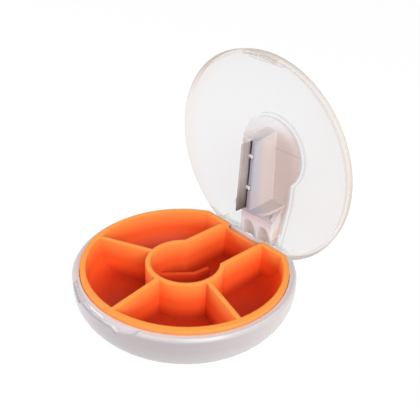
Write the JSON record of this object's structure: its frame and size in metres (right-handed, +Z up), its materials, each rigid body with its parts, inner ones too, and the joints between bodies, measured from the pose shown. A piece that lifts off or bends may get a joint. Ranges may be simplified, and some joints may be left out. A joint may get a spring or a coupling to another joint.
{
  "type": "pill box with cutter",
  "caption": "Round hinged pill box with a soft compartment tray, a clear domed lid and a steel pill-cutting blade in a holder under the lid.",
  "frame": {"origin": "centre of the base's flat round foot, on the surface that the box stands on", "axes": "+Z up, +Y from the front catch to the hinge at the back, +X to the right along the hinge as seen from the front"},
  "size_m": [0.092, 0.0965, 0.1007],
  "materials": {
    "white_shell": "glossy white",
    "orange_tray": "soft satin orange",
    "clear_lid": "clear polished",
    "milky_holder": "milky semi-gloss",
    "steel": "ground steel"
  },
  "bodies": {
    "base": {"base_shell": "white_shell", "tray": "orange_tray", "hinge_pin_left": "steel", "hinge_pin_right": "steel"},
    "lid": {"lid_shell": "clear_lid", "cutter_holder": "milky_holder", "blade": "steel", "blade_clamp": "milky_holder"}
  },
  "joints": [
    {"name": "lid_hinge", "type": "hinge", "parent": "base", "child": "lid", "pos_m": [0, 0.0384, 0.0162], "axis": [1, 0, 0], "range_deg": [0, 87]}
  ]
}
